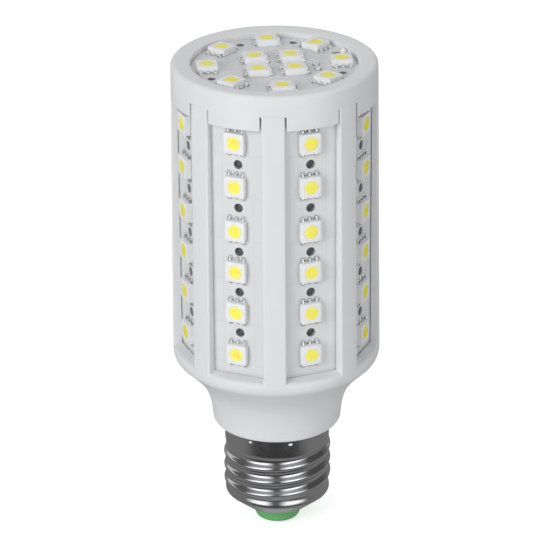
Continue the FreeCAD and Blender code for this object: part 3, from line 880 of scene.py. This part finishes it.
# brightness of the panels and walls that metal sees, and the angles in radians between which each rises
studio = dict(ambient=0.31, bright=1.7, grey=0.42, gap=0.13, left=0.28, right=0.09, rear=0.12, farLeft=0.75,
              canopy=1.3, back=0.6, lean=0.25, turn=0.04,
              panelStart=(0.0, 0.48), panelEnd=(0.7, 1.3), farLeftStart=(-1.9, -1.35), farLeftEnd=(-2.8, -2.4),
              leftStep=(-2.4, -1.9), rightStep=(0.9, 1.2), rearStep=(1.8, 2.4), behindStep=(2.1, 2.6))
# heights in the world, as the z of a direction, between which one band gives way to the next
sky = dict(ringStep=(0.4, 0.54), farLeftStep=(0.1, 0.2), canopyStep=(0.54, 0.63), zenithStep=(0.8, 0.9),
           zenithBack=(-0.4, -0.15), zenithShare=0.94)
# distances in metres from the lamp's axis
ground = dict(size=6.0, tone=0.8, span=0.4, side=0.22, sideStep=(-0.9, -0.3), ringStep=(0.068, 0.084),
              farLeftStep=(0.2, 0.35), glow=0.62, glowStep=(0.25, 0.9),
              rings=[(0.0, 0.36), (0.03, 0.36), (0.05, 0.24), (0.07, 0.2), (0.09, 0.13), (0.11, 0.06),
                     (0.17, 0.06)])


def placeObject(name, data, right, above, back, place):
    # an object whose own axes point right, above and back
    thing = addObject(name, data)
    matrix = np.eye(4)
    matrix[:3] = np.stack([right, above, back, place], 1)
    thing.matrix_world = Matrix(matrix.tolist())
    return thing


def addCamera():
    # looks from place to target, turned about its line of sight by the roll
    data = bpy.data.cameras.new("camera")
    data.sensor_width = view["sensor"]
    data.lens = view["lens"]
    data.clip_start, data.clip_end = view["clip"]
    place = np.array(view["place"]) * mm
    target = np.array(view["target"]) * mm
    forward = (target - place) / np.linalg.norm(target - place)
    right = np.cross(forward, (0, 0, 1))
    right /= np.linalg.norm(right)
    above = np.cross(right, forward)
    roll = math.radians(view["roll"])
    side = right * math.cos(roll) + above * math.sin(roll)
    up = above * math.cos(roll) - right * math.sin(roll)
    bpy.context.scene.camera = placeObject("camera", data, side, up, -forward, place)


def addLamp(name, place, size, power):
    # a square soft box that faces the middle of the lamp and isn't seen in metal
    data = bpy.data.lights.new(name, "AREA")
    data.shape = "SQUARE"
    data.size = size
    data.energy = power
    back = np.array(place) - lampAim
    back /= np.linalg.norm(back)
    side = np.cross((0, 0, 1), back)
    side /= np.linalg.norm(side)
    lamp = placeObject(name, data, side, np.cross(back, side), back, place)
    lamp.visible_glossy = False


def studioRing(tree, x, y):
    # what metal sees round the lamp, by the angle from the front, left below nought: a panel on each side of a
    # dark gap, a far panel on the left, and walls of their own grey left, right and behind
    s = studio
    angle = mathNode(tree, "ARCTAN2", x, mathNode(tree, "MULTIPLY", y, -1.0))
    away = mathNode(tree, "ABSOLUTE", mathNode(tree, "ADD", angle, s["turn"]))
    panel = mathNode(tree, "MULTIPLY", softStep(tree, away, *s["panelStart"]),
                     softStep(tree, away, *s["panelEnd"], 1.0, 0.0))
    farLeft = mathNode(tree, "MULTIPLY", softStep(tree, angle, *s["farLeftStart"], s["farLeft"], 0.0),
                       softStep(tree, angle, *s["farLeftEnd"]))
    leftWall = softStep(tree, angle, *s["leftStep"], s["left"], s["gap"])
    rightWall = softStep(tree, angle, *s["rightStep"], 0.0, s["right"] - s["gap"])
    rearWall = softStep(tree, angle, *s["rearStep"], 0.0, s["rear"])
    wall = mathNode(tree, "ADD", mathNode(tree, "ADD", leftWall, rightWall), rearWall)
    low = mathNode(tree, "MAXIMUM", mathNode(tree, "MULTIPLY", panel, s["bright"]), wall)
    return dict(away=away, panel=panel, farLeft=farLeft, wall=wall, low=low)


def addSurroundings():
    # white where the camera looks. Metal sees the ring: bright panels up to about 25 degrees, grey ones above,
    # and a bright canopy from about 35 degrees up, which ends towards the back before the zenith
    world = bpy.data.worlds.new("surroundings")
    bpy.context.scene.world = world
    tree, surface = emptyTree(world, "World")
    place = addNode(tree, "TexCoord").outputs["Generated"]
    x, y, z = addNode(tree, "SeparateXYZ", [place]).outputs
    ring = studioRing(tree, x, y)
    behind = softStep(tree, ring["away"], *studio["behindStep"], 0.0, studio["back"])
    high = mathNode(tree, "MAXIMUM", blendValues(tree, ring["panel"], ring["wall"], studio["grey"]), behind)
    height = mathNode(tree, "MULTIPLY_ADD", ring["away"], studio["lean"], z)
    bands = blendValues(tree, softStep(tree, height, *sky["ringStep"]), ring["low"], high)
    farLeft = mathNode(tree, "MULTIPLY", ring["farLeft"], softStep(tree, z, *sky["farLeftStep"], 1.0, 0.0))
    zenith = mathNode(tree, "MULTIPLY", softStep(tree, z, *sky["zenithStep"], 0.0, sky["zenithShare"]),
                      softStep(tree, y, *sky["zenithBack"]))
    canopy = mathNode(tree, "MULTIPLY", softStep(tree, z, *sky["canopyStep"], 0.0, studio["canopy"]),
                      mathNode(tree, "SUBTRACT", 1.0, zenith))
    glow = mathNode(tree, "MAXIMUM", mathNode(tree, "MAXIMUM", bands, farLeft), canopy)
    path = addNode(tree, "LightPath").outputs
    shiny = addNode(tree, "Background", {"Color": white, "Strength": glow})
    ambient = addNode(tree, "Background", {"Color": white, "Strength": studio["ambient"]})
    plain = addNode(tree, "Background", {"Color": white, "Strength": 1.0})
    lit = addNode(tree, "MixShader", [path["Is Glossy Ray"], ambient.outputs[0], shiny.outputs[0]])
    either = mathNode(tree, "MAXIMUM", path["Is Camera Ray"], path["Is Transmission Ray"])
    seen = addNode(tree, "MixShader", [either, lit.outputs[0], plain.outputs[0]])
    tree.links.new(seen.outputs[0], surface)


def addFloor():
    # pale, and lifted towards white for the camera, the more the farther out. Metal sees rings of grey in front
    # of the lamp's foot, one grey beside and behind it, and from about 75 mm out the foot of the studio
    g = ground
    size = g["size"]
    mesh = bpy.data.meshes.new("floor")
    mesh.from_pydata([(-size, -size, 0), (size, -size, 0), (size, size, 0), (-size, size, 0)], [],
                     [(0, 1, 2, 3)])
    floor = addObject("floor", mesh)
    material = bpy.data.materials.new("paleFloor")
    tree, surface = emptyTree(material, "Material")
    plain = addNode(tree, "BsdfDiffuse", {"Color": (g["tone"], g["tone"], g["tone"], 1)})
    place = addNode(tree, "TexCoord").outputs["Object"]
    x, y = addNode(tree, "SeparateXYZ", [place]).outputs[:2]
    distance = addNode(tree, "VectorMath", [place], operation="LENGTH").outputs["Value"]
    rings = addNode(tree, "ValToRGB", [mathNode(tree, "DIVIDE", distance, g["span"])])
    for k, (where, value) in enumerate(g["rings"]):
        stop = rings.color_ramp.elements[k] if k < 2 else rings.color_ramp.elements.new(where)
        stop.position = where
        stop.color = (value, value, value, 1)
    ring = studioRing(tree, x, y)
    farLeft = mathNode(tree, "MULTIPLY", ring["farLeft"], softStep(tree, distance, *g["farLeftStep"]))
    far = mathNode(tree, "MAXIMUM", ring["low"], farLeft)
    aside = softStep(tree, mathNode(tree, "DIVIDE", y, distance), *g["sideStep"])
    near = blendValues(tree, aside, rings.outputs["Color"], g["side"])
    value = blendValues(tree, softStep(tree, distance, *g["ringStep"]), near, far)
    mirrored = addNode(tree, "Emission", {"Color": white, "Strength": value})
    path = addNode(tree, "LightPath").outputs
    lift = mathNode(tree, "MULTIPLY", path["Is Camera Ray"],
                    softStep(tree, distance, *g["glowStep"], g["glow"], 1.0))
    glow = addNode(tree, "Emission", {"Color": white, "Strength": lift})
    both = addNode(tree, "AddShader", [plain.outputs[0], glow.outputs[0]])
    seen = addNode(tree, "MixShader", [path["Is Glossy Ray"], both.outputs[0], mirrored.outputs[0]])
    tree.links.new(seen.outputs[0], surface)
    floor.data.materials.append(material)


addCamera()
for lamp in lamps:
    addLamp(*lamp)
addSurroundings()
addFloor()
bpy.context.scene.view_settings.view_transform = "Standard"
print("camera, lamps and floor set")
